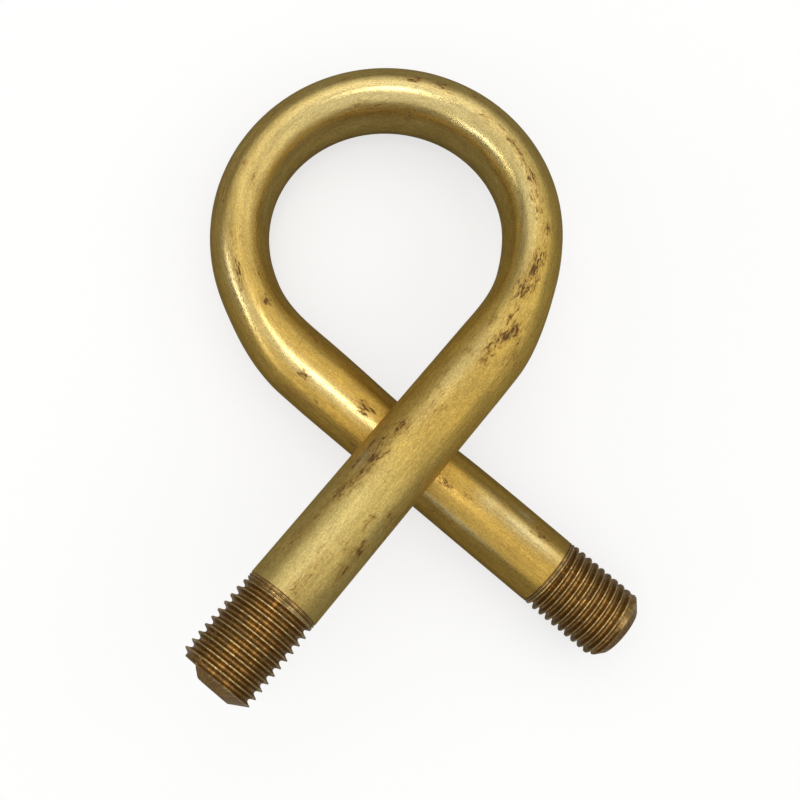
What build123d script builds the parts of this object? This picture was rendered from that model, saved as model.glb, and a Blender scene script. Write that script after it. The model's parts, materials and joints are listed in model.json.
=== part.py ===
"""Pressure gauge siphon: one brass tube, bent into a pigtail loop and threaded at both ends.

The tube comes in along the gauge leg, turns 270 degrees round the loop and leaves by the steam
leg, which passes under the gauge leg. It is modelled with the loop's axis upright, then laid down
as it comes to rest: +Z up, +Y from the crossing towards the top of the loop, origin on the table
under the middle of the part. Millimetres and degrees.
"""

from build123d import *
from math import cos, radians, sin
import os

# Tube
tube_od = 13.3
bore_d = 6.6

# Loop, on the tube's centre line: one tight middle bend between two gentler ones
loop_radius = 26.6
gauge_bend_radius = 39.8
steam_bend_radius = 33.7
total_turn = 270.0
gauge_bend_turn = 35.0
steam_bend_turn = 35.0

# Air between the two legs where they cross, along the loop's axis
crossing_gap = 0.4

# The bend flattens the tube across the loop and widens it the other way
flattening = 0.19
widening = 0.15
oval_run = 16.0
station_step = 9.0

# Straight legs, from the end of the bend to the threaded end
gauge_leg = 72.5
steam_leg = 74.2

# Male pipe threads, 1/4 NPT, as plain blanks of their crest size, each with a coned nose
thread_od = 13.7
thread_length = 16.0
shoulder_length = 0.5
nose_length = 1.7
gauge_nose_depth = 3.0
steam_nose_depth = 1.9
mouth_chamfer = 0.3

# How far the loop's far side dips when the part lies on a table
rest_tilt = 4.9

# Headings run from -half_turn at the gauge leg, through 0 at the top of the loop, to half_turn
half_turn = total_turn / 2
middle_start = gauge_bend_turn - half_turn
middle_end = half_turn - steam_bend_turn
gauge_bend_length = gauge_bend_radius * radians(gauge_bend_turn)
middle_length = loop_radius * radians(middle_end - middle_start)
steam_bend_length = steam_bend_radius * radians(steam_bend_turn)
bend_length = gauge_bend_length + middle_length + steam_bend_length
top_length = gauge_bend_length - loop_radius * radians(middle_start)


def outward(heading):
    """The direction away from the loop's middle, square to the tube."""
    return Vector(-sin(radians(heading)), cos(radians(heading)), 0)


def plan_point(heading):
    """A point of the centre line, seen along the loop's axis."""
    if heading < middle_start:
        joint = outward(middle_start) * (loop_radius - gauge_bend_radius)
        return joint + outward(heading) * gauge_bend_radius
    if heading > middle_end:
        joint = outward(middle_end) * (loop_radius - steam_bend_radius)
        return joint + outward(heading) * steam_bend_radius
    return outward(heading) * loop_radius


def length_at(heading):
    """Length of bend behind a heading, from where the gauge leg ends."""
    if heading < middle_start:
        return gauge_bend_radius * radians(heading + half_turn)
    if heading > middle_end:
        return bend_length - steam_bend_radius * radians(half_turn - heading)
    return top_length + loop_radius * radians(heading)


# The legs cross where the spread between the bend's ends closes along both of them
bend_start = plan_point(-half_turn)
bend_end = plan_point(half_turn)
leg_slant = radians(half_turn - 90)
spread = (bend_start.X - bend_end.X) / sin(leg_slant)
# Length of tube from the crossing, once round the loop and back to the crossing
crossing_length = bend_length + spread
fall = (tube_od + crossing_gap) / crossing_length


def forward(heading):
    """The way the tube runs: round the loop and steadily down its axis."""
    return Vector(-cos(radians(heading)), -sin(radians(heading)), -fall).normalized()


def section(heading):
    """The plane across the tube at a heading, with its x axis along the tube's wide way."""
    drop = fall * (length_at(heading) - top_length)
    origin = plan_point(heading) - Vector(0, 0, drop)
    wide_way = forward(heading).cross(outward(heading))
    return Plane(origin=origin, x_dir=wide_way, z_dir=forward(heading))


def ovalness(heading):
    """0 where the tube is still round, easing to 1 within the bend."""
    run = min(length_at(heading), bend_length - length_at(heading)) / oval_run
    run = min(run, 1)
    return run * run * (3 - 2 * run)


def ovals(diameter):
    """Cross-sections all round the bend, of what measures this diameter in a straight leg."""
    sections = []
    count = round(total_turn / station_step)
    for number in range(count + 1):
        heading = total_turn * number / count - half_turn
        wide = diameter / 2 * (1 + widening * ovalness(heading))
        narrow = diameter / 2 * (1 - flattening * ovalness(heading))
        with BuildSketch(section(heading)) as oval:
            Ellipse(wide, narrow)
        sections.append(oval.sketch.face())
    return sections


# Each leg starts at the bend and points out along the tube
gauge_end = section(-half_turn)
gauge_frame = Plane(origin=gauge_end.origin, x_dir=gauge_end.x_dir, z_dir=-gauge_end.z_dir)
steam_frame = section(half_turn)
legs = [(gauge_frame, gauge_leg, gauge_nose_depth), (steam_frame, steam_leg, steam_nose_depth)]

tube_radius = tube_od / 2
thread_radius = thread_od / 2
bore_radius = bore_d / 2

with BuildPart() as bent_tube:
    # Bend, then the two legs with their thread blanks
    loft(ovals(tube_od))
    for frame, length, nose_depth in legs:
        side_view = Plane(origin=frame.origin, x_dir=frame.x_dir, z_dir=-frame.y_dir)
        shoulder = length - thread_length
        with BuildSketch(side_view):
            with BuildLine():
                Polyline(
                    (0, 0),
                    (tube_radius, 0),
                    (tube_radius, shoulder),
                    (thread_radius, shoulder + shoulder_length),
                    (thread_radius, length - nose_length),
                    (thread_radius - nose_depth, length),
                    (0, length),
                    close=True,
                )
            make_face()
        revolve(axis=Axis(frame.origin, frame.z_dir))

    # Bore, all the way through
    loft(ovals(bore_d), mode=Mode.SUBTRACT)
    for frame, length, _ in legs:
        with BuildSketch(frame):
            Circle(bore_radius)
        extrude(amount=length, mode=Mode.SUBTRACT)
        mouth = bent_tube.faces().filter_by(Plane(frame.origin, z_dir=frame.z_dir))
        chamfer(mouth.edges().sort_by(SortBy.LENGTH)[0], mouth_chamfer)

# Laid down on a table
dipped = bent_tube.part.rotate(Axis.X, -rest_tilt)
reach = dipped.bounding_box()

with BuildPart() as siphon_tube:
    with Locations((-reach.center().X, -reach.center().Y, -reach.min.Z)):
        add(dipped)

siphon_tube.part.label = "siphon_tube"

os.makedirs("parts", exist_ok=True)
export_step(siphon_tube.part, "parts/siphon_tube.step")
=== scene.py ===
import bpy
import json
import math
import numpy as np
from mathutils import Matrix, Vector, noise


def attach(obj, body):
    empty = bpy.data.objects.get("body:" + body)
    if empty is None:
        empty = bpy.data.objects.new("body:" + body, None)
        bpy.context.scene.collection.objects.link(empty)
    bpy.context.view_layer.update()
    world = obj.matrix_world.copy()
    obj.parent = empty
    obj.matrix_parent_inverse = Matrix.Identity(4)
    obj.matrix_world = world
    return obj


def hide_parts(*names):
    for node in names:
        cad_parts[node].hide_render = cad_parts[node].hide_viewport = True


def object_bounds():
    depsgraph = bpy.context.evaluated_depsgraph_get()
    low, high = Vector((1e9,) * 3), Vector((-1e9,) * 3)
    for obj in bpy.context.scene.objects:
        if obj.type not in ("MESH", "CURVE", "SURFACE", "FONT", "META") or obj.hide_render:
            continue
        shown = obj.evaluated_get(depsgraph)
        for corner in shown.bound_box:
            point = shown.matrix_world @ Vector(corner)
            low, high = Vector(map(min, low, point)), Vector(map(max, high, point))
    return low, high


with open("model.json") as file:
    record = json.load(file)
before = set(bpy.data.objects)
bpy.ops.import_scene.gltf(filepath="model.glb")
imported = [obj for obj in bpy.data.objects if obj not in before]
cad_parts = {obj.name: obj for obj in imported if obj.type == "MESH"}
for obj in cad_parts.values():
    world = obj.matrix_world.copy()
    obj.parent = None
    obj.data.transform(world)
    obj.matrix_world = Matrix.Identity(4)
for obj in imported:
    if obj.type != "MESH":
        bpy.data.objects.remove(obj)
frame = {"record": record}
cadLow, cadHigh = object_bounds()
mounts = {mount["name"]: mount for mount in frame["record"]["mounts"]}
mm = 0.001

# The tube's own sizes are those of the solid, in millimetres and degrees
tube = {
    "outside": 13.3,
    "bore": 6.6,
    "loopRadius": 26.6,
    "gaugeBendRadius": 39.8,
    "steamBendRadius": 33.7,
    "totalTurn": 270.0,
    "gaugeBendTurn": 35.0,
    "steamBendTurn": 35.0,
    "crossingGap": 0.4,
    "flattening": 0.19,
    "widening": 0.15,
    "ovalRun": 16.0,
    "gaugeLeg": 72.5,
    "steamLeg": 74.2,
    "restTilt": 4.9,
    "around": 120,          # points round the tube
    "rowSpacing": 0.8,      # between rings of the outside
    "boreSpacing": 4.0,
    "ripple": 0.02,         # waves that bending and handling leave
    "rippleLength": 7.0,
    "rippleFade": 6.0,      # over which they fade out towards each thread
    "sharpAngle": 38.0,     # edges that turn by more stay sharp
}

thread = {
    "crest": 13.7,
    "length": 16.0,         # of the full crest
    "shoulder": 0.5,
    "crestSink": 1.0,       # how far before its end the crest begins to sink
    "pitch": 1.5,
    "angle": 60.0,
    "gaugeTurns": 11,       # whole turns
    "steamTurns": 10,
    "gaugeStart": 0.2,      # from the end of the tube
    "steamStart": 1.0,
    "crestFlat": 0.14,      # parts of a pitch
    "rootFlat": 0.18,
    "rootRounding": 1.6,
    "flankRows": (0, 0.22, 0.5, 0.78, 1),
    "noseLength": 1.7,
    "gaugeNoseDepth": 3.0,
    "steamNoseDepth": 1.9,
    "noseShade": 0.75,        # painted shade: how dark the nose and the mouth are, where a full cut is 1
    "mouthShade": 0.6,
    "mouthChamfer": 0.3,
    "setBack": 1.35,        # a side of the gauge end that was cut short, square to the tube
    "setBackTurn": 180.0,
    "setBackHalf": 58.0,
    "setBackEdge": 3.0,
    "setBackDepth": 1.0,
    "setBackBevel": 0.8,
    "setBackBunching": 4.0,  # over which the rows behind it bunch up
    "wornRun": 4.2,         # the steam end's first turns are worn down and clogged
    "wornTurn": -130.0,
    "wornHalf": 62.0,
    "wornCoreTurn": 0.6,    # shares of wornHalf and wornRun that are worn all through
    "wornCoreRun": 0.5,
    "wornShare": 0.8,
    "runOut": (-0.2, 0.4),  # pitches from the inner end, between which the cut deepens
    "nicks": 0.12,
    "nickAlong": 1.3,       # how close together they are
    "nickRound": 7.7,
    # Rings past the last turn, by distance, depth and cut, where the cut paints shade into the grooves: two
    # fine grooves and the ridge between them
    "grooves": [
        (0.2, 0.02, 0), (0.38, 0.2, 0.8), (0.5, 0.18, 0.8), (0.6, 0, 0), (0.72, 0, 0), (0.8, 0.2, 0.9),
        (0.92, 0.2, 0.9), (1.05, 0.02, 0.2), (1.2, 0, 0),
    ],
    "finishEnd": 1.0,       # distance past the last turn at which the tube's own finish begins
    "steamLip": 0.3,        # and up to which the steam end keeps the height of its crests
}

halfTurn = tube["totalTurn"] / 2
middleStart = tube["gaugeBendTurn"] - halfTurn
middleEnd = halfTurn - tube["steamBendTurn"]
gaugeBend = tube["gaugeBendRadius"] * math.radians(tube["gaugeBendTurn"])
steamBend = tube["steamBendRadius"] * math.radians(tube["steamBendTurn"])
bendLength = gaugeBend + steamBend + tube["loopRadius"] * math.radians(middleEnd - middleStart)
topRun = gaugeBend - tube["loopRadius"] * math.radians(middleStart)
gaugeNose = -tube["gaugeLeg"]
steamNose = bendLength + tube["steamLeg"]


def outwardAt(heading):
    angle = np.radians(heading)
    return np.stack([-np.sin(angle), np.cos(angle), 0 * angle], -1)


def headingAt(run):
    inGauge = np.degrees(run / tube["gaugeBendRadius"]) - halfTurn
    inMiddle = np.degrees((run - topRun) / tube["loopRadius"])
    inSteam = halfTurn - np.degrees((bendLength - run) / tube["steamBendRadius"])
    pastGauge = np.where(run > bendLength - steamBend, inSteam, inMiddle)
    return np.where(run < gaugeBend, inGauge, pastGauge)


def planAt(heading):
    points = outwardAt(heading) * tube["loopRadius"]
    for beyond, limit, radius in ((heading < middleStart, middleStart, tube["gaugeBendRadius"]),
                                  (heading > middleEnd, middleEnd, tube["steamBendRadius"])):
        centre = outwardAt(np.array(limit)) * (tube["loopRadius"] - radius)
        points = np.where(beyond[..., None], centre + outwardAt(heading) * radius, points)
    return points


bendEnds = planAt(np.array([-halfTurn, halfTurn]))
spread = (bendEnds[0][0] - bendEnds[1][0]) / math.sin(math.radians(halfTurn - 90))
fall = (tube["outside"] + tube["crossingGap"]) / (bendLength + spread)


def skin(run, turn, radius):
    # run is 0 where the gauge leg meets the bend; turn goes right-handed round the way the tube runs
    inBend = np.clip(run, 0, bendLength)
    heading = headingAt(inBend)
    outward = outwardAt(heading)
    angle = np.radians(heading)
    forward = np.stack([-np.cos(angle), -np.sin(angle), 0 * angle - fall], -1)
    forward /= np.linalg.norm(forward, axis=-1)[..., None]
    sideways = np.cross(forward, outward)
    centre = planAt(heading)
    centre[..., 2] -= fall * (inBend - topRun)
    centre += forward * (run - inBend)[..., None]
    ease = np.clip(np.minimum(inBend, bendLength - inBend) / tube["ovalRun"], 0, 1)
    ease = ease * ease * (3 - 2 * ease)
    narrow = radius * (1 - tube["flattening"] * ease)
    wide = radius * (1 + tube["widening"] * ease)
    acrossLoop = outward * (np.cos(turn) * narrow)[..., None]
    return centre + acrossLoop + sideways * (np.sin(turn) * wide)[..., None]


def layDown(points):
    # From the loop's own frame to where the solid lies, going by the places of the two threads
    tilt = np.array(Matrix.Rotation(math.radians(-tube["restTilt"]), 3, "X"))
    inward = (thread["length"] - thread["shoulder"] + thread["noseLength"]) / 2
    middles = skin(np.array([gaugeNose + inward, steamNose - inward]), np.zeros(2), np.zeros(2)) @ tilt.T
    places = np.array([mounts["gauge_thread"]["pos_m"], mounts["steam_thread"]["pos_m"]]) / mm
    shift = places - middles
    print("thread places agree within", round(float(np.ptp(shift, axis=0).max()), 3), "mm")
    return (points @ tilt.T + shift.mean(0)) * mm


# What time has left on the tube, and painted shade on its underside: run along it, turn round it, half
# length, half width, strength.
# Turn -90 faces up, 0 is the outside of the loop and 180 the inside.
stainsAndUnderShade = [
    # where the gauge leg rubs over the steam leg
    (-29, -120, 2.0, 1.1, 1.0), (-27, -137, 2.2, 0.6, 0.95), (-25.5, -128, 1.3, 0.8, 0.9),
    (-31, -138, 1.6, 0.7, 0.85), (-31.5, -116, 3.2, 0.9, 0.75), (-28, -111, 2.6, 0.7, 0.6),
    (-36.5, -125, 3.2, 0.8, 0.85), (-42, -127, 7.0, 0.4, 0.6), (-22, -116, 1.3, 1.1, 0.8),
    (-14, -123, 4.5, 1.2, 0.45), (-17, -100, 5.0, 0.5, 0.35), (-15.5, -86, 4.0, 0.35, 0.5),
    # along the gauge leg
    (-52, -81, 4.5, 0.35, 0.65), (-37, -63, 1.6, 0.5, 0.6), (-34.5, -42, 0.9, 1.1, 0.7),
    (-41.7, -44, 1.0, 0.7, 0.9), (-46.3, -43, 0.9, 0.7, 0.75), (-43, -66, 0.4, 1.6, 0.5),
    (-54, -140, 3.0, 0.8, 0.5), (-47, -135, 2.5, 0.5, 0.5), (-49, -142, 1.2, 0.5, 0.5),
    # into the loop
    (-3.5, -86, 1.3, 0.6, 0.75), (-1, -92, 2.0, 0.6, 0.8), (1.5, -84, 1.6, 0.8, 0.95),
    (3.8, -79, 1.3, 1.0, 1.0), (5, -92, 3.2, 0.5, 0.7), (3.3, -114, 0.9, 0.8, 0.7),
    (-4.5, -112, 0.9, 0.6, 0.6), (0.5, -55, 1.8, 0.8, 0.55), (-0.5, -40, 1.5, 0.6, 0.45),
    (10.8, -96, 1.9, 1.1, 1.0), (15.5, -88, 2.5, 1.1, 1.0), (13, -81, 2.2, 0.6, 0.75),
    (18, -77, 2.0, 0.6, 0.7), (23, -73, 0.8, 1.0, 0.75), (9, -104, 3.0, 0.4, 0.6),
    (26, -94, 1.0, 0.8, 0.65), (29, -96, 0.8, 0.9, 0.7), (33, -93, 1.6, 0.9, 0.75),
    (39, -93, 6.0, 0.45, 0.7), (48, -95, 1.3, 0.6, 0.75), (12, -110, 2.2, 0.6, 0.5),
    # over the top
    (58, -81, 1.5, 0.8, 0.85), (62.8, -82, 1.2, 0.8, 0.95), (52, -71, 0.6, 1.0, 0.6),
    (62.5, -145, 0.8, 0.7, 0.7), (70, -137, 2.4, 0.6, 0.75), (73, -128, 1.2, 0.5, 0.65),
    (75, -72, 0.5, 1.0, 0.55), (99, -72, 0.5, 1.2, 0.6), (90, -65, 5.0, 0.8, 0.6),
    (97, -63, 4.0, 0.8, 0.6), (106, -58, 5.0, 0.9, 0.7), (101, -105, 0.7, 0.8, 0.6),
    # down into the steam leg
    (112, -81, 2.4, 0.6, 0.5), (118.5, -77, 3.0, 0.8, 0.8), (125.2, -105, 0.5, 1.3, 0.9),
    (119.5, -113, 1.0, 0.8, 0.6), (137, -130, 1.6, 0.6, 0.7), (139.3, -70, 0.6, 0.5, 0.95),
    (150.5, -95, 1.2, 0.5, 0.85), (152.3, -95, 0.8, 0.5, 0.8), (151.5, -86, 0.8, 0.6, 0.8),
    (139.5, -31, 2.2, 1.2, 0.6), (145, -50, 3.0, 0.5, 0.4), (155, -30, 3.0, 1.0, 0.7),
    (170.5, -83, 1.4, 0.6, 0.75), (175, -87, 0.8, 0.4, 0.6), (189.5, -120, 2.0, 0.8, 0.75),
    (173, -38, 4.5, 0.9, 0.6), (182, -32, 6.0, 0.6, 0.45), (186, -66, 2.0, 0.5, 0.4),
    # painted shade: more pits and haze on the side that lies down, darker under the tube
    (60, 60, 9.0, 2.5, 0.6), (95, 120, 8.0, 2.0, 0.6), (20, 100, 7.0, 2.0, 0.6),
    (-40, 80, 9.0, 1.6, 0.6), (125, 70, 5.0, 1.6, 0.6), (180, 90, 8.0, 1.4, 0.6),
]

# Painted highlights: a paler colour laid where the lamps' highlights fall, with the metal made smoother
# there as well, given the same way
paintedHighlights = [
    (46, -128, 7, 0.9, 0.8), (66, -107, 22, 2.2, 0.7), (121, -63, 7, 0.9, 0.9),
    (142, -77, 16, 0.8, 0.9), (187, -104, 6, 0.9, 0.9), (179, -104, 2, 1.2, 0.6),
    (185.5, -128, 1.2, 0.6, 0.6), (-29.5, -131, 1.4, 0.7, 0.9), (-45, -97, 12, 1.6, 0.3),
    (-8, -106, 10, 1.2, 0.5), (28, -111, 14, 1.5, 0.6), (174, -48, 8, 0.3, 0.8),
]

# Flats and dents: run, turn, half length, half spread in degrees, depth
dents = [
    (158, -163, 12.0, 45, 0.55),
    (133, -5, 8.0, 40, 0.25),
    (6, -8, 7.0, 40, 0.2),
    (-29, -130, 2.5, 14, 0.12),
    (17, -85, 3.0, 16, 0.06),
]

# How far a spot spreads past the halves given above, and how fast it fades
spot = {
    "longer": 0.4,
    "wider": 0.2,
    "falloff": 0.7,
}


def smooth(low, high, value):
    part = np.clip((value - low) / (high - low), 0, 1)
    return part * part * (3 - 2 * part)


def sideAway(turn, middle):
    # degrees between a turn in radians and a middle in degrees
    return np.abs((np.degrees(turn) - middle + 180) % 360 - 180)


def setBack(turn):
    # How much of the side that was cut short applies at a turn, from 0 to 1
    half, edge = thread["setBackHalf"], thread["setBackEdge"]
    return 1 - smooth(half - edge, half + edge, sideAway(turn, thread["setBackTurn"]))


def noseRadius(fromNose, turn, gauge):
    crest = thread["crest"] / 2
    cone = thread["gaugeNoseDepth"] if gauge else thread["steamNoseDepth"]
    radius = crest - cone * np.clip(1 - fromNose / thread["noseLength"], 0, 1)
    if not gauge:
        return radius
    behind = (fromNose - thread["setBack"]) / thread["setBackBevel"]
    bevel = crest - thread["setBackDepth"] * np.clip(1 - behind, 0, 1)
    share = setBack(turn)
    return radius * (1 - share) + bevel * share


def crestAt(fromNose):
    # The last crests sink to the plain tube
    sink = (thread["crest"] - tube["outside"]) / 2
    low, high = thread["length"] - thread["crestSink"], thread["length"] + thread["shoulder"]
    return thread["crest"] / 2 - sink * smooth(low, high, fromNose)


def threadRadius(run, turn, fromNose, start, gauge):
    # The radius of the thread with its rounded roots, and from 0 to 1 how deep it is cut there, which the
    # thread's finish turns into painted shade.
    # The nose's cone cuts its crests short, and the cut gets shallow towards the plain tube.
    pitch = thread["pitch"]
    phase = (run - start) / pitch - turn / (2 * math.pi)
    away = np.abs((phase + 0.5) % 1 - 0.5)
    slope = 0.5 - (thread["crestFlat"] + thread["rootFlat"]) / 2
    depth = pitch * slope / math.tan(math.radians(thread["angle"] / 2))
    share = np.clip((away - thread["crestFlat"] / 2) / slope, 0, 1)
    share = 1 - (1 - share) ** thread["rootRounding"]
    land = (thread["gaugeTurns"] * pitch + start - run) if gauge else run - start
    cutting = smooth(*thread["runOut"], land / pitch)
    if not gauge:
        aside = sideAway(turn, thread["wornTurn"]) / thread["wornHalf"]
        worn = 1 - smooth(thread["wornCoreTurn"], 1, aside)
        wornAlong = 1 - smooth(thread["wornCoreRun"], 1, fromNose / thread["wornRun"])
        cutting = cutting * (1 - thread["wornShare"] * worn * wornAlong)
    groove = crestAt(fromNose) - depth * share * cutting
    radius = np.minimum(groove, noseRadius(fromNose, turn, gauge))
    # painted shade on the nose: its share is raised to at least the nose's shade
    onNose = 1 - smooth(0, 1, fromNose / thread["noseLength"])
    return radius, np.maximum(share * cutting, thread["noseShade"] * onNose)


def patches(spots, run, turn):
    # The strongest of the spots at each point, from 0 to 1
    total = np.zeros(len(run))
    for spotRun, spotTurn, halfLength, halfWidth, strength in spots:
        across = np.radians(sideAway(turn, spotTurn)) * tube["outside"] / 2
        far = ((run - spotRun) / (halfLength + spot["longer"])) ** 2
        far = far + (across / (halfWidth + spot["wider"])) ** 2
        total = np.maximum(total, strength * np.exp(-far * spot["falloff"]))
    return total


class Rings:
    # Gathers points by run, turn and radius, and the faces between them
    def __init__(self):
        self.run, self.turn, self.radius, self.cut, self.faces, self.finish = [], [], [], [], [], []

    def add(self, run, turn, radius, cut=0.0):
        first = len(self.run)
        run, turn, radius, cut = (np.ravel(a) for a in np.broadcast_arrays(run, turn, radius, cut))
        for kept, new in ((self.run, run), (self.turn, turn), (self.radius, radius), (self.cut, cut)):
            kept.extend(new)
        return list(range(first, first + len(run)))

    def ring(self, run, radius, cut=0.0):
        return self.add(run, turns, radius, cut)

    def join(self, low, high, finish):
        for here, after in zip(range(len(low)), list(range(1, len(low))) + [0]):
            self.face((low[here], low[after], high[after], high[here]), finish)

    def face(self, corners, finish):
        corners = list(dict.fromkeys(corners))
        if len(corners) > 2:
            self.faces.append(corners)
            self.finish.append(finish)


turns = np.arange(tube["around"]) * 2 * math.pi / tube["around"]


def addThread(rings, low, start, count, fromNose, gauge):
    # The rows follow the helix, so each crest and root is one clean edge. A flat ring closes each end.
    pitch = thread["pitch"]
    crest, root = thread["crestFlat"] / 2, thread["rootFlat"] / 2
    rise = [crest + (0.5 - root - crest) * part for part in thread["flankRows"]]
    offsets = [0.0] + rise + [0.5] + [1 - part for part in reversed(rise)]
    perTurn = len(offsets)
    rows = perTurn * (count - 1)
    place = [start + pitch * (row // perTurn + offsets[row % perTurn]) for row in range(rows + perTurn + 1)]
    end = start + pitch * count
    columns = []
    for number, turn in enumerate(turns):
        share = turn / (2 * math.pi)
        runs = [start + share * (place[row] - start) for row in range(perTurn)]
        runs += [place[row] + pitch * share for row in range(rows + 1)]
        runs += [place[rows + row] + share * (end - place[rows + row]) for row in range(1, perTurn + 1)]
        runs = np.array(runs)
        if gauge:
            # the rows bunch up behind the side that was cut short
            bunched = np.clip(1 - fromNose(runs) / thread["setBackBunching"], 0, 1)
            runs = runs + thread["setBack"] * setBack(turn) * bunched
        radius, cut = threadRadius(runs, turn, fromNose(runs), start, gauge)
        across = (thread["nickRound"] * math.cos(turn), thread["nickRound"] * math.sin(turn))
        nick = np.array([noise.noise(Vector((run * thread["nickAlong"], *across))) for run in runs])
        radius = radius - thread["nicks"] * np.clip(nick, 0, 1) * (1 - cut)
        ids = rings.add(runs[1:-1], turn, radius[1:-1], cut[1:-1])
        columns.append([low[number]] + ids + [None])
        columns[-1][-1] = rings.add(runs[-1], turn, radius[-1], cut[-1])[0]
    first = columns[0]
    for row in range(1, perTurn + 1):
        first[row] = first[0]
    beyond = [first[min(row + perTurn, len(first) - 1)] for row in range(len(first))]
    for left, right in zip(columns, columns[1:] + [beyond]):
        for row in range(len(first) - 1):
            rings.face((left[row], right[row], right[row + 1], left[row + 1]), 1)
    return [column[-1] for column in columns]


def buildTube():
    rings = Rings()
    outer, bore = tube["outside"] / 2, tube["bore"] / 2
    gaugeZone = thread["gaugeStart"] + thread["pitch"] * thread["gaugeTurns"]
    steamZone = thread["steamStart"] + thread["pitch"] * thread["steamTurns"]

    # gauge nose and thread, from the end inwards
    gaugeEnd = gaugeNose + thread["setBack"] * setBack(turns)
    gaugeRim = rings.ring(gaugeEnd, noseRadius(gaugeEnd - gaugeNose, turns, True), thread["noseShade"])
    bunched = 1 - thread["gaugeStart"] / thread["setBackBunching"]
    begin = thread["gaugeStart"] + thread["setBack"] * setBack(turns) * bunched
    first = rings.ring(gaugeNose + begin, noseRadius(begin, turns, True), thread["noseShade"])
    rings.join(gaugeRim, first, 1)
    last = addThread(rings, first, gaugeNose + thread["gaugeStart"], thread["gaugeTurns"],
                     lambda run: run - gaugeNose, True)

    # the grooves, the plain tube, the grooves again and the steam thread
    for away, depth, cut in thread["grooves"]:
        ring = rings.ring(gaugeNose + gaugeZone + away, crestAt(gaugeZone + away) - depth, cut)
        rings.join(last, ring, 1 if away < thread["finishEnd"] else 0)
        last = ring
    grooved = thread["grooves"][-1][0]
    start, stop = gaugeNose + gaugeZone + grooved, steamNose - steamZone - grooved
    count = round((stop - start) / tube["rowSpacing"])
    for step in range(1, count):
        run = start + (stop - start) * step / count
        fade = min(1, (run - start) / tube["rippleFade"], (stop - run) / tube["rippleFade"])
        wave = [noise.noise(Vector((run, outer * math.cos(t), outer * math.sin(t))) / tube["rippleLength"])
                for t in turns]
        radius = outer + tube["ripple"] * fade * np.array(wave)
        for dentRun, dentTurn, halfLength, spreadHalf, depth in dents:
            across = sideAway(turns, dentTurn) / spreadHalf
            far = ((run - dentRun) / halfLength) ** 2 + across ** 2
            radius -= depth * np.exp(-far)
        ring = rings.ring(run, radius)
        rings.join(last, ring, 0)
        last = ring
    for away, depth, cut in reversed(thread["grooves"]):
        radius = crestAt(steamZone + away) if away < thread["steamLip"] else outer
        ring = rings.ring(steamNose - steamZone - away, radius - depth, cut)
        rings.join(last, ring, 1 if away < thread["finishEnd"] else 0)
        last = ring
    ring = rings.ring(steamNose - steamZone, crestAt(steamZone))
    rings.join(last, ring, 1)
    steamRim = addThread(rings, ring, steamNose - steamZone, thread["steamTurns"],
                         lambda run: steamNose - run, False)

    # end faces, mouth chamfers and bore
    chamfer = thread["mouthChamfer"]
    rim = rings.ring(steamNose, noseRadius(0.0, turns, False), thread["noseShade"])
    rings.join(steamRim, rim, 1)
    # the mouth chamfers carry painted shade
    last = rings.ring(steamNose, bore + chamfer, thread["mouthShade"])
    rings.join(rim, last, 1)
    count = round((steamNose - gaugeNose) / tube["boreSpacing"])
    inside = np.linspace(steamNose - chamfer, gaugeNose + tube["boreSpacing"], count)
    for run in list(inside) + [gaugeEnd + chamfer]:
        ring = rings.ring(run, bore)
        rings.join(last, ring, 2)
        last = ring
    ring = rings.ring(gaugeEnd, bore + chamfer, thread["mouthShade"])
    rings.join(last, ring, 2)
    rings.join(ring, gaugeRim, 1)

    run, turn, radius = np.array(rings.run), np.array(rings.turn), np.array(rings.radius)
    places = layDown(skin(run, turn, radius))
    used = sorted({corner for face in rings.faces for corner in face})
    renumber = {old: new for new, old in enumerate(used)}
    mesh = bpy.data.meshes.new("siphonTube")
    mesh.from_pydata([tuple(places[old]) for old in used], [],
                     [[renumber[corner] for corner in face] for face in rings.faces])
    mesh.polygons.foreach_set("material_index", rings.finish)

    # for the finishes: straightened coordinates in millimetres, depth of cut, which also paints shade into
    # the thread, stains with painted shade on the underside, and painted highlights with their smoother
    # gloss
    run, turn = run[used], turn[used]
    along = np.stack([run, outer * np.cos(turn), outer * np.sin(turn)], -1)
    layer = mesh.attributes.new("along", "FLOAT_VECTOR", "POINT")
    layer.data.foreach_set("vector", along.ravel())
    for name, values in (("cut", np.array(rings.cut)[used]), ("grime", patches(stainsAndUnderShade, run, turn)),
                         ("highlightAndGloss", patches(paintedHighlights, run, turn))):
        layer = mesh.attributes.new(name, "FLOAT", "POINT")
        layer.data.foreach_set("value", values)
    mesh.shade_smooth()
    mesh.set_sharp_from_angle(angle=math.radians(tube["sharpAngle"]))
    piece = bpy.data.objects.new("siphonTube", mesh)
    bpy.context.scene.collection.objects.link(piece)
    print("tube:", len(used), "points,", len(rings.faces), "faces")
    return piece


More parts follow.
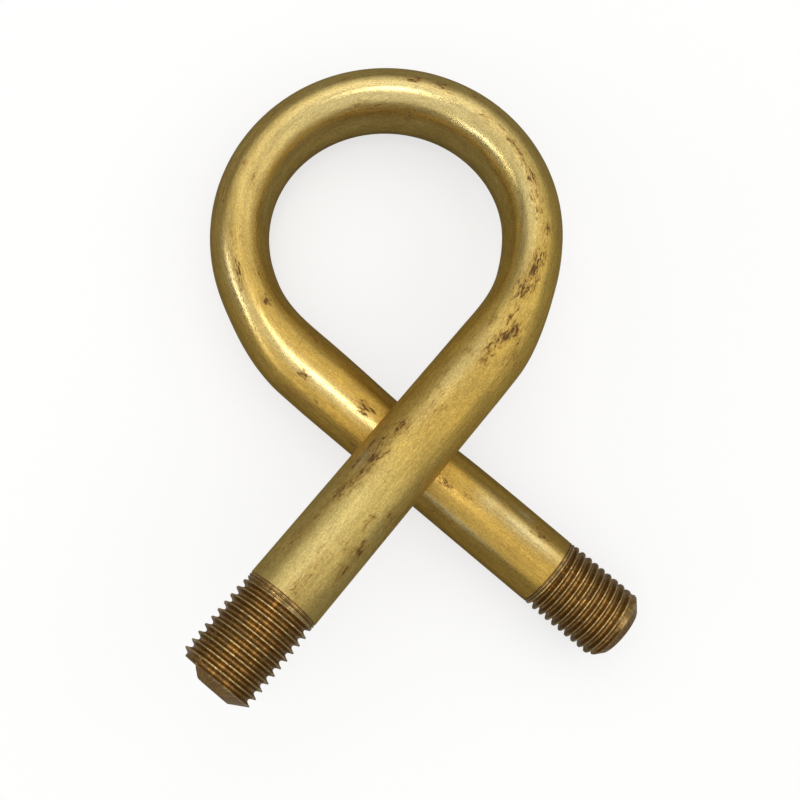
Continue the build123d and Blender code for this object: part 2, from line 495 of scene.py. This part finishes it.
class Nodes:
    # Short calls for placing and wiring nodes
    def __init__(self, tree):
        self.tree = tree

    def put(self, kind, **settings):
        node = self.tree.nodes.new(kind)
        for key, value in settings.items():
            setattr(node, key, value)
        return node

    def feed(self, socket, value):
        if isinstance(value, bpy.types.NodeSocket):
            self.tree.links.new(value, socket)
        else:
            socket.default_value = value

    def math(self, operation, a, b=0.0, clamp=False):
        node = self.put("ShaderNodeMath", operation=operation, use_clamp=clamp)
        self.feed(node.inputs[0], a)
        self.feed(node.inputs[1], b)
        return node.outputs[0]

    def band(self, value, low, high, toLow=0.0, toHigh=1.0):
        node = self.put("ShaderNodeMapRange", interpolation_type="SMOOTHSTEP")
        for socket, given in zip(node.inputs, (value, low, high, toLow, toHigh)):
            self.feed(socket, given)
        return node.outputs[0]

    def blend(self, factor, a, b, how="MIX"):
        node = self.put("ShaderNodeMix", data_type="RGBA", blend_type=how)
        self.feed(node.inputs[0], factor)
        self.feed(node.inputs[6], a)
        self.feed(node.inputs[7], b)
        return node.outputs[2]

    def stretch(self, vector, amounts):
        node = self.put("ShaderNodeVectorMath", operation="MULTIPLY")
        self.feed(node.inputs[0], vector)
        self.feed(node.inputs[1], amounts)
        return node.outputs[0]

    def noise(self, vector, scale, detail=4.0, roughness=0.55, distortion=0.0):
        node = self.put("ShaderNodeTexNoise")
        for label, value in (("Vector", vector), ("Scale", scale), ("Detail", detail),
                             ("Roughness", roughness), ("Distortion", distortion)):
            self.feed(node.inputs[label], value)
        return node.outputs["Fac"]

    def ramp(self, factor, stops):
        node = self.put("ShaderNodeValToRGB")
        node.color_ramp.interpolation = "EASE"
        elements = node.color_ramp.elements
        while len(elements) < len(stops):
            elements.new(1.0)
        for element, (position, colour) in zip(elements, stops):
            element.position = position
            element.color = colour
        self.feed(node.inputs[0], factor)
        return node.outputs[0]

    def group(self, group, **values):
        node = self.put("ShaderNodeGroup", node_tree=group)
        for label, value in values.items():
            self.feed(node.inputs[label], value)
        return node.outputs

    def attribute(self, name):
        node = self.put("ShaderNodeAttribute", attribute_name=name)
        return node.outputs["Vector" if name == "along" else "Fac"]


def newGroup(name, inputs, outputs):
    group = bpy.data.node_groups.new(name, "ShaderNodeTree")
    for label, kind, value in inputs:
        socket = group.interface.new_socket(name=label, in_out="INPUT", socket_type=kind)
        if value is not None:
            socket.default_value = value
    for label, kind in outputs:
        group.interface.new_socket(name=label, in_out="OUTPUT", socket_type=kind)
    nodes = Nodes(group)
    return group, nodes, nodes.put("NodeGroupInput").outputs, nodes.put("NodeGroupOutput").inputs


grain = {
    "fineness": 1.5,
    "length": 14.0,
    "finer": 4.0,           # how much finer the second set of lines is
    "wideShare": 0.6,
    "fineShare": 0.4,
    "speckle": 4.2,
    "speckleLength": 0.6,
}


def grainGroup():
    # Fine lines that drawing the tube leaves along it
    group, nodes, given, out = newGroup(
        "drawnGrain",
        [("Along", "NodeSocketVector", None),
         ("Fineness", "NodeSocketFloat", grain["fineness"]),
         ("Length", "NodeSocketFloat", grain["length"])],
        [("Grain", "NodeSocketFloat"), ("Speckle", "NodeSocketFloat")])
    squeeze = nodes.put("ShaderNodeCombineXYZ")
    nodes.feed(squeeze.inputs[0], nodes.math("DIVIDE", 1.0, given["Length"]))
    nodes.feed(squeeze.inputs[1], 1.0)
    nodes.feed(squeeze.inputs[2], 1.0)
    drawn = nodes.stretch(given["Along"], squeeze.outputs[0])
    wide = nodes.noise(drawn, given["Fineness"], 5.0, 0.6)
    fine = nodes.noise(drawn, nodes.math("MULTIPLY", given["Fineness"], grain["finer"]), 3.0, 0.6)
    wide = nodes.math("MULTIPLY", wide, grain["wideShare"])
    fine = nodes.math("MULTIPLY", fine, grain["fineShare"])
    nodes.feed(out["Grain"], nodes.math("ADD", wide, fine))
    drawn = nodes.stretch(given["Along"], (grain["speckleLength"], 1.0, 1.0))
    nodes.feed(out["Speckle"], nodes.noise(drawn, grain["speckle"], 3.0, 0.7))
    return group


pitting = {
    "fineness": 1.8,
    "length": 0.36,
    "limit": 0.71,          # the noise above it is a pit
    "grimeReach": 0.265,    # how far full grime lowers that limit
    "edge": (-0.015, 0.055),
    "hazeEdge": (-0.19, 0.04),
}


def pitGroup():
    # Small brown pits, thick where the grime is and rare elsewhere
    group, nodes, given, out = newGroup(
        "pits",
        [("Along", "NodeSocketVector", None),
         ("Grime", "NodeSocketFloat", 0.0),
         ("Fineness", "NodeSocketFloat", pitting["fineness"])],
        [("Pits", "NodeSocketFloat"), ("Haze", "NodeSocketFloat")])
    drawn = nodes.stretch(given["Along"], (pitting["length"], 1.0, 1.0))
    coarse = nodes.noise(drawn, given["Fineness"], 7.0, 0.7, 0.5)
    lowered = nodes.math("MULTIPLY", given["Grime"], pitting["grimeReach"])
    over = nodes.math("SUBTRACT", coarse, nodes.math("SUBTRACT", pitting["limit"], lowered))
    nodes.feed(out["Pits"], nodes.band(over, *pitting["edge"]))
    nodes.feed(out["Haze"], nodes.band(over, *pitting["hazeEdge"]))
    return group


clouding = {
    "size": 9.0,
    "length": 0.38,
    "cloudEdge": (0.34, 0.66),
    "blotchTimes": 3.6,     # how much smaller the blotches are than the clouds
    "blotchEdge": (0.35, 0.65),
}


def cloudGroup():
    # Slow drift between clean and tarnished metal, drawn out along the tube
    group, nodes, given, out = newGroup(
        "tarnishCloud",
        [("Along", "NodeSocketVector", None), ("Size", "NodeSocketFloat", clouding["size"])],
        [("Cloud", "NodeSocketFloat"), ("Blotch", "NodeSocketFloat")])
    drawn = nodes.stretch(given["Along"], (clouding["length"], 1.0, 1.0))
    pace = nodes.math("DIVIDE", 1.0, given["Size"])
    cloud = nodes.noise(drawn, pace, 5.0, 0.6, 0.4)
    nodes.feed(out["Cloud"], nodes.band(cloud, *clouding["cloudEdge"]))
    blotch = nodes.noise(drawn, nodes.math("MULTIPLY", pace, clouding["blotchTimes"]), 4.0, 0.62, 0.3)
    nodes.feed(out["Blotch"], nodes.band(blotch, *clouding["blotchEdge"]))
    return group


def newMaterial(name):
    material = bpy.data.materials.new(name)
    material.use_nodes = True
    nodes = Nodes(material.node_tree)
    return material, nodes, material.node_tree.nodes["Principled BSDF"].inputs


def bump(nodes, shader, height, distance, strength):
    node = nodes.put("ShaderNodeBump")
    nodes.feed(node.inputs["Strength"], strength)
    nodes.feed(node.inputs["Distance"], distance)
    nodes.feed(node.inputs["Height"], height)
    nodes.feed(shader["Normal"], node.outputs[0])


tubeFinish = {
    "tones": [          # run, colour of the clean metal there
        (-70, (0.60, 0.47, 0.165, 1)),
        (-38, (0.69, 0.52, 0.165, 1)),
        (-14, (0.78, 0.53, 0.12, 1)),
        (20, (0.76, 0.53, 0.13, 1)),
        (45, (0.74, 0.55, 0.18, 1)),
        (102, (0.74, 0.54, 0.17, 1)),
        (128, (0.75, 0.49, 0.11, 1)),
        (158, (0.75, 0.45, 0.08, 1)),
        (186, (0.62, 0.39, 0.08, 1)),
    ],
    "tarnish": (0.46, 0.31, 0.085, 1),
    "haze": (0.40, 0.225, 0.055, 1),
    "stain": (0.13, 0.062, 0.017, 1),
    # the colour of the painted highlights
    "highlightPaint": (0.92, 0.80, 0.43, 1),
    "edge": (0.62, 0.56, 0.46, 1),
    "cloudSize": 8.0,
    "grainFineness": 1.5,
    "grainLength": 13.0,
    "pitFineness": 2.3,
    "tarnishShare": 0.27,
    # how strongly the painted highlights show
    "highlightPaintShare": 0.65,
    "hazeShare": 0.75,
    "grainShade": (0.88, 1.08),
    "speckleShade": (0.78, 1.12),
    "roughness": 0.28,
    "cloudDulling": 0.08,
    "hazeDulling": 0.2,
    "polishing": 0.14,
    "grainDulling": 0.3,
    "legDulling": 0.16,     # how much duller the gauge leg is than the rest
    "legRuns": (-12, 45),   # between which that goes away
    "pitCover": 0.75,       # how much of the metal a pit hides
    "grainHeight": 0.3,
    "speckleHeight": 0.25,
    "pitDepth": 0.6,
    "relief": 0.07,
    "reliefStrength": 0.7,
}


def tubeMaterial(grainNodes, pitNodes, cloudNodes):
    look = tubeFinish
    material, nodes, shader = newMaterial("tarnishedBrass")
    along, grime, highlightAndGloss = (nodes.attribute(name) for name in ("along", "grime", "highlightAndGloss"))
    clouds = nodes.group(cloudNodes, Along=along, Size=look["cloudSize"])
    lines = nodes.group(grainNodes, Along=along, Fineness=look["grainFineness"], Length=look["grainLength"])
    # grime holds real stains and the painted shade on the underside, and thickens the pits there
    pits = nodes.group(pitNodes, Along=along, Grime=grime, Fineness=look["pitFineness"])
    run = nodes.put("ShaderNodeSeparateXYZ")
    nodes.feed(run.inputs[0], along)

    # colour
    span = steamNose - gaugeNose
    stops = [((place - gaugeNose) / span, colour) for place, colour in look["tones"]]
    place = nodes.math("DIVIDE", nodes.math("SUBTRACT", run.outputs[0], gaugeNose), span)
    colour = nodes.ramp(place, stops)
    dirt = nodes.math("MULTIPLY", nodes.math("ADD", clouds["Cloud"], clouds["Blotch"]), look["tarnishShare"])
    colour = nodes.blend(dirt, colour, look["tarnish"])
    # painted highlights: a paler colour where the lamps' highlights fall
    colour = nodes.blend(nodes.math("MULTIPLY", highlightAndGloss, look["highlightPaintShare"]), colour, look["highlightPaint"])
    shade = nodes.math("MULTIPLY", nodes.band(lines["Grain"], 0.36, 0.64, *look["grainShade"]),
                       nodes.band(lines["Speckle"], 0.34, 0.66, *look["speckleShade"]))
    colour = nodes.blend(1.0, colour, shade, "MULTIPLY")
    colour = nodes.blend(nodes.math("MULTIPLY", pits["Haze"], look["hazeShare"]), colour, look["haze"])
    colour = nodes.blend(pits["Pits"], colour, look["stain"])
    nodes.feed(shader["Base Color"], colour)

    # gloss
    hazeDull = nodes.math("MULTIPLY", pits["Haze"], look["hazeDulling"])
    dull = nodes.math("ADD", nodes.math("MULTIPLY", clouds["Cloud"], look["cloudDulling"]), hazeDull)
    dull = nodes.math("SUBTRACT", dull, nodes.math("MULTIPLY", highlightAndGloss, look["polishing"]))
    grainDull = nodes.math("MULTIPLY", nodes.math("SUBTRACT", lines["Grain"], 0.5), look["grainDulling"])
    dull = nodes.math("ADD", dull, grainDull)
    legDull = nodes.band(run.outputs[0], *look["legRuns"], look["legDulling"], 0.0)
    dull = nodes.math("ADD", dull, legDull)
    nodes.feed(shader["Roughness"], nodes.math("ADD", dull, look["roughness"], clamp=True))
    covered = nodes.math("MULTIPLY", pits["Pits"], look["pitCover"])
    nodes.feed(shader["Metallic"], nodes.math("SUBTRACT", 1.0, covered))
    shader["Specular Tint"].default_value = look["edge"]

    # relief
    speckles = nodes.math("MULTIPLY", lines["Speckle"], look["speckleHeight"])
    height = nodes.math("ADD", nodes.math("MULTIPLY", lines["Grain"], look["grainHeight"]), speckles)
    height = nodes.math("SUBTRACT", height, nodes.math("MULTIPLY", pits["Pits"], look["pitDepth"]))
    bump(nodes, shader, height, look["relief"] * mm, look["reliefStrength"])
    return material


threadFinish = {
    "crest": (0.66, 0.50, 0.22, 1),
    # flanks and roots darker than the crests: painted shade in the grooves, partly grime
    "flank": (0.42, 0.25, 0.08, 1),
    "root": (0.44, 0.26, 0.08, 1),
    "grime": (0.09, 0.045, 0.014, 1),
    "flankEdge": (0.03, 0.22),      # depths of cut over which one colour gives way to the next
    "rootEdge": (0.72, 0.95),
    "unevenness": 0.14,
    "cloudSize": 4.0,
    "pitGrime": 0.55,
    "pitFineness": 1.2,
    "grimeShare": 0.6,
    "roughness": 0.26,
    "grimeDulling": 0.25,
    "pitCover": 0.6,
    "relief": 0.06,
    "reliefFineness": 2.6,
    "reliefStrength": 0.5,
}


def threadMaterial(pitNodes, cloudNodes):
    look = threadFinish
    material, nodes, shader = newMaterial("grimyThread")
    along, cut = nodes.attribute("along"), nodes.attribute("cut")
    pits = nodes.group(pitNodes, Along=along, Grime=look["pitGrime"], Fineness=look["pitFineness"])
    clouds = nodes.group(cloudNodes, Along=along, Size=look["cloudSize"])
    uneven = nodes.math("MULTIPLY", nodes.math("SUBTRACT", clouds["Blotch"], 0.5), look["unevenness"])
    depth = nodes.math("ADD", cut, uneven)
    # painted shade with some grime: darker down the flanks and into the roots, by depth of cut
    colour = nodes.blend(nodes.band(depth, *look["flankEdge"]), look["crest"], look["flank"])
    colour = nodes.blend(nodes.band(depth, *look["rootEdge"]), colour, look["root"])
    colour = nodes.blend(nodes.math("MULTIPLY", pits["Haze"], look["grimeShare"]), colour, look["grime"])
    nodes.feed(shader["Base Color"], colour)
    dull = nodes.math("MULTIPLY", pits["Haze"], look["grimeDulling"])
    nodes.feed(shader["Roughness"], nodes.math("ADD", dull, look["roughness"]))
    covered = nodes.math("MULTIPLY", pits["Pits"], look["pitCover"])
    nodes.feed(shader["Metallic"], nodes.math("SUBTRACT", 1.0, covered))
    height = nodes.noise(along, look["reliefFineness"], 4.0)
    bump(nodes, shader, height, look["relief"] * mm, look["reliefStrength"])
    return material


boreFinish = {
    "brass": (0.26, 0.17, 0.06, 1),
    "scale": (0.07, 0.045, 0.02, 1),
    "cloudSize": 4.0,
    "grainFineness": 2.0,
    "grainLength": 6.0,
    "roughness": (0.5, 0.8),
    "metal": (0.8, 0.3),    # how metallic it is where it is brass, and where it is scale
    "relief": 0.1,
    "reliefStrength": 0.6,
}


def boreMaterial(grainNodes, cloudNodes):
    look = boreFinish
    material, nodes, shader = newMaterial("scaledBore")
    along = nodes.attribute("along")
    clouds = nodes.group(cloudNodes, Along=along, Size=look["cloudSize"])
    lines = nodes.group(grainNodes, Along=along, Fineness=look["grainFineness"], Length=look["grainLength"])
    nodes.feed(shader["Base Color"], nodes.blend(clouds["Cloud"], look["brass"], look["scale"]))
    nodes.feed(shader["Roughness"], nodes.band(lines["Grain"], 0.3, 0.7, *look["roughness"]))
    nodes.feed(shader["Metallic"], nodes.band(clouds["Cloud"], 0.0, 1.0, *look["metal"]))
    bump(nodes, shader, lines["Grain"], look["relief"] * mm, look["reliefStrength"])
    return material


siphon = buildTube()
grainNodes, pitNodes, cloudNodes = grainGroup(), pitGroup(), cloudGroup()
siphon.data.materials.append(tubeMaterial(grainNodes, pitNodes, cloudNodes))
siphon.data.materials.append(threadMaterial(pitNodes, cloudNodes))
siphon.data.materials.append(boreMaterial(grainNodes, cloudNodes))
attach(siphon, "root")
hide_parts("siphon_tube")
print("finishes: tube, thread, bore")

stage = {
    "floorHalf": 1.5,
    "floorColour": (0.36, 0.36, 0.36, 1),
    "floorRoughness": 0.9,
    "floorSpecular": 0.1,
    "floorLift": 0.66,                  # how much paler the floor looks than it lights the metal
    "surround": (0.24, 0.24, 0.24, 1),
    "lights": [
        # name, way to it, distance in metres, size, brightness, colour
        ("ceiling", (0, 0, 1), 0.8, (2.9, 2.9), 0.64, (1, 1, 0.99)),
        ("overhead", (-0.13, -0.04, 0.99), 0.65, (0.15, 0.11), 6.0, (1, 0.99, 0.96)),
        ("behind", (0.0, 0.5, 0.86), 0.65, (0.4, 0.28), 0.5, (1, 0.98, 0.94)),
        ("lowLeft", (-0.93, -0.12, 0.36), 0.6, (0.6, 0.05), 5.0, (1, 1, 0.98)),
        ("right", (0.85, 0.0, 0.5), 0.7, (0.7, 0.5), 0.5, (1, 0.97, 0.9)),
    ],
}

# Where the eye is: its aim on the table and its distance in metres, and degrees round, up and rolled
view = {
    "aim": (0.0011, -0.0055, 0.0),
    "azimuth": -34.22,
    "elevation": 79.97,
    "roll": 29.05,
    "distance": 0.209,
    "lens": 49.7,
    "clip": (0.01, 10),
}


def buildFloor():
    half = stage["floorHalf"]
    mesh = bpy.data.meshes.new("floor")
    corners = [(-half, -half, 0), (half, -half, 0), (half, half, 0), (-half, half, 0)]
    mesh.from_pydata(corners, [], [(0, 1, 2, 3)])
    floor = bpy.data.objects.new("floor", mesh)
    bpy.context.scene.collection.objects.link(floor)
    material, nodes, shader = newMaterial("paleFloor")
    shader["Base Color"].default_value = stage["floorColour"]
    shader["Roughness"].default_value = stage["floorRoughness"]
    shader["Specular IOR Level"].default_value = stage["floorSpecular"]
    seen = nodes.put("ShaderNodeLightPath").outputs["Is Camera Ray"]
    shader["Emission Color"].default_value = (1, 1, 1, 1)
    nodes.feed(shader["Emission Strength"], nodes.math("MULTIPLY", seen, stage["floorLift"]))
    mesh.materials.append(material)


def buildLights():
    middle = Vector((0, 0, cadHigh[2] / 2))
    for name, way, distance, size, brightness, colour in stage["lights"]:
        light = bpy.data.lights.new(name, "AREA")
        light.shape = "RECTANGLE"
        light.size, light.size_y = size
        light.energy = brightness * math.pi * size[0] * size[1]  # the same brightness whatever the size
        light.color = colour
        lamp = bpy.data.objects.new(name, light)
        lamp.location = middle + Vector(way).normalized() * distance
        lamp.rotation_euler = (middle - lamp.location).to_track_quat("-Z", "Y").to_euler()
        bpy.context.scene.collection.objects.link(lamp)
    world = bpy.data.worlds.new("studio")
    world.use_nodes = True
    world.node_tree.nodes["Background"].inputs["Color"].default_value = stage["surround"]
    bpy.context.scene.world = world
    bpy.context.scene.view_settings.view_transform = "Standard"


def buildCamera():
    data = bpy.data.cameras.new("camera")
    data.lens = view["lens"]
    data.clip_start, data.clip_end = view["clip"]
    camera = bpy.data.objects.new("camera", data)
    around, up = math.radians(view["azimuth"]), math.radians(view["elevation"])
    back = Vector((math.sin(around) * math.cos(up), -math.cos(around) * math.cos(up), math.sin(up)))
    camera.location = Vector(view["aim"]) + back * view["distance"]
    camera.rotation_mode = "QUATERNION"
    level = (-back).to_track_quat("-Z", "Y")
    roll = Matrix.Rotation(math.radians(view["roll"]), 3, "Z").to_quaternion()
    camera.rotation_quaternion = level @ roll
    bpy.context.scene.collection.objects.link(camera)
    bpy.context.scene.camera = camera


buildFloor()
buildLights()
buildCamera()
print("stage: floor,", len(stage["lights"]), "lights, camera")
